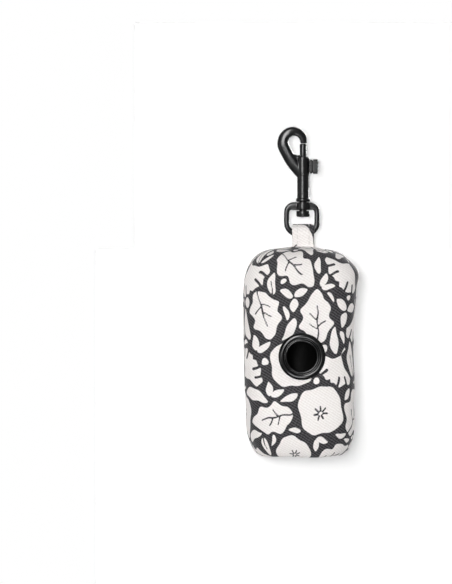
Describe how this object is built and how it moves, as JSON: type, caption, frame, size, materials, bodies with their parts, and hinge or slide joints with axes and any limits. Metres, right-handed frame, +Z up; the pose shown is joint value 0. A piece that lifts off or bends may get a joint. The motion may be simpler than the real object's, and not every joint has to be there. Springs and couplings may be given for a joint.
{
  "type": "dog poop bag dispenser",
  "caption": "Soft printed pouch that feeds waste bags from a roll through a round port, hung by a fabric loop from a swivelling bolt snap; a zip opens the back.",
  "frame": {"origin": "centre of the round part of the snap's hook, where the lead's ring sits", "axes": "+Z up as the part hangs, -Y out of the port in the pouch's front, +X towards the thumb knob"},
  "size_m": [0.0432, 0.0397, 0.124],
  "materials": {
    "black_paint": "satin black over die-cast zinc",
    "spring_steel": "drawn wire",
    "printed_fabric": "knit face on foam, off-white print on charcoal",
    "sewing_thread": "spun polyester",
    "binding_tape": "woven edge binding",
    "zip_tape": "woven tape",
    "zip_teeth": "moulded",
    "port_black": "satin black",
    "bag_film": "thin black film, wound",
    "cardboard": "kraft board"
  },
  "bodies": {
    "snap": {"snap_body": "black_paint", "bolt_spring": "spring_steel", "swivel_rivet": "black_paint"},
    "bolt": {"bolt": "black_paint", "thumb_knob": "black_paint"},
    "ring": {"swivel_ring": "black_paint"},
    "pouch": {"hanging_loop": "printed_fabric", "loop_stitching": "sewing_thread", "front_shell": "printed_fabric", "back_panel_left": "printed_fabric", "back_panel_right": "printed_fabric", "seam_binding": "binding_tape", "seam_stitching": "sewing_thread", "port_flange": "port_black", "port_washer": "port_black", "zip_tape_left": "zip_tape", "zip_tape_right": "zip_tape", "zip_teeth_left": "zip_teeth", "zip_teeth_right": "zip_teeth", "zip_stitching": "sewing_thread", "zip_top_stops": "black_paint", "zip_bottom_stop": "black_paint"},
    "slider": {"zip_slider": "black_paint"},
    "pull": {"zip_pull": "black_paint"},
    "roll": {"roll_core": "cardboard", "bag_roll": "bag_film"}
  },
  "joints": [
    {"name": "bolt_slide", "type": "slide", "parent": "snap", "child": "bolt", "axis": [0, 0, 1], "range_m": [-0.005, 0], "stiffness_N_per_m": 200, "springref_m": 0.008, "deforming": ["bolt_spring"]},
    {"name": "ring_swivel", "type": "hinge", "parent": "snap", "child": "ring", "pos_m": [0.00334, 0, -0.024], "axis": [0, 0, 1], "continuous": true},
    {"name": "pouch_swing", "type": "hinge", "parent": "ring", "child": "pouch", "pos_m": [0.00334, 0, -0.0339], "axis": [1, 0, 0], "range_deg": [-80, 80]},
    {"name": "zip_slide", "type": "slide", "parent": "pouch", "child": "slider", "axis": [0, 0, 1], "range_m": [-0.039, 0]},
    {"name": "pull_swing", "type": "hinge", "parent": "slider", "child": "pull", "pos_m": [0.00254, 0.017, -0.05799], "axis": [1, 0, 0], "range_deg": [0, 150]},
    {"name": "roll_spin", "type": "hinge", "parent": "pouch", "child": "roll", "pos_m": [0.00254, 0.00041, -0.08296], "axis": [0, 0, 1], "continuous": true}
  ]
}
